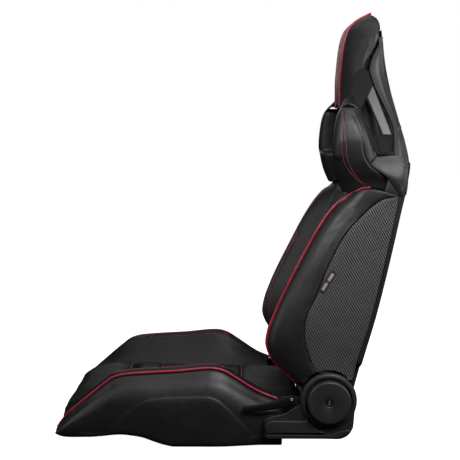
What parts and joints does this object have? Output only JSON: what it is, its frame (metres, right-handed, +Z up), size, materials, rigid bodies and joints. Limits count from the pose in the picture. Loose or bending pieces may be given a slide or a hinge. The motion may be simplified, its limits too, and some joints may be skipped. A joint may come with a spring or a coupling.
{
  "type": "racing seat",
  "caption": "Reclining sport seat in black leatherette with red piping, harness slots, ribbed side panels and a release lever on one side",
  "frame": {"origin": "middle of the footprint, on the floor under the mounting bars", "axes": "+Z up, -Y is the way the seat faces, +X is the occupant's left, the release lever's side"},
  "size_m": [0.57, 0.7445, 0.9149],
  "materials": {
    "leatherette": "satin",
    "ribbed_vinyl": "matte",
    "shell_vinyl": "matte",
    "red_piping": "satin",
    "satin_plastic": "satin",
    "tag_fabric": "matte",
    "black_steel": "satin",
    "zinc_steel": "satin"
  },
  "bodies": {
    "seat_base": {"mount_bar_L": "zinc_steel", "mount_bar_R": "zinc_steel", "side_member_L": "black_steel", "side_member_R": "black_steel", "front_cross_tube": "black_steel", "rear_cross_tube": "black_steel", "front_pan": "black_steel", "rear_pan": "black_steel", "seat_spring_L": "zinc_steel", "seat_spring_C": "zinc_steel", "seat_spring_R": "zinc_steel", "thigh_roll": "leatherette", "seat_centre": "leatherette", "cushion_bolster_L": "leatherette", "cushion_bolster_R": "leatherette", "cushion_side_panel_L": "leatherette", "cushion_side_panel_R": "leatherette", "cushion_piping_L": "red_piping", "cushion_piping_R": "red_piping", "recliner_fixed_plate_L": "black_steel", "recliner_fixed_plate_R": "black_steel", "recliner_cover_L": "satin_plastic", "recliner_cover_R": "satin_plastic", "recliner_cap_L": "satin_plastic", "recliner_cap_R": "satin_plastic", "cap_screw_L": "zinc_steel", "cap_screw_R": "zinc_steel", "counterbalance_spring": "zinc_steel", "lever_stop_peg": "black_steel"},
    "backrest": {"recliner_moving_plate_L": "black_steel", "recliner_moving_plate_R": "black_steel", "back_frame_hoop": "black_steel", "lower_back_tube": "black_steel", "lumbar_mat": "black_steel", "headrest_hoop": "black_steel", "back_centre": "leatherette", "back_bolster_L": "leatherette", "back_bolster_R": "leatherette", "side_panel_smooth_L": "leatherette", "side_panel_smooth_R": "leatherette", "side_panel_ribbed_L": "ribbed_vinyl", "side_panel_ribbed_R": "ribbed_vinyl", "back_piping_L": "red_piping", "back_piping_R": "red_piping", "rear_shell": "shell_vinyl", "shoulder_wing_L": "leatherette", "shoulder_wing_R": "leatherette", "upper_back_centre": "leatherette", "headrest_pad": "leatherette", "upper_rear_cover": "leatherette", "headrest_piping": "red_piping", "harness_bezel_L": "satin_plastic", "harness_bezel_R": "satin_plastic", "slot_liner_L": "satin_plastic", "slot_liner_R": "satin_plastic", "side_tag": "tag_fabric"},
    "release_lever": {"lever_arm": "black_steel", "lever_grip": "satin_plastic", "recliner_shaft": "zinc_steel"}
  },
  "joints": [
    {"name": "backrest_recline", "type": "hinge", "parent": "seat_base", "child": "backrest", "pos_m": [0, 0.1925, 0.107], "axis": [1, 0, 0], "range_deg": [-50, 25]},
    {"name": "lever_release", "type": "hinge", "parent": "seat_base", "child": "release_lever", "pos_m": [0, 0.1925, 0.107], "axis": [-1, 0, 0], "range_deg": [0, 22], "stiffness_Nm_per_rad": 2, "springref_deg": -17.19}
  ]
}
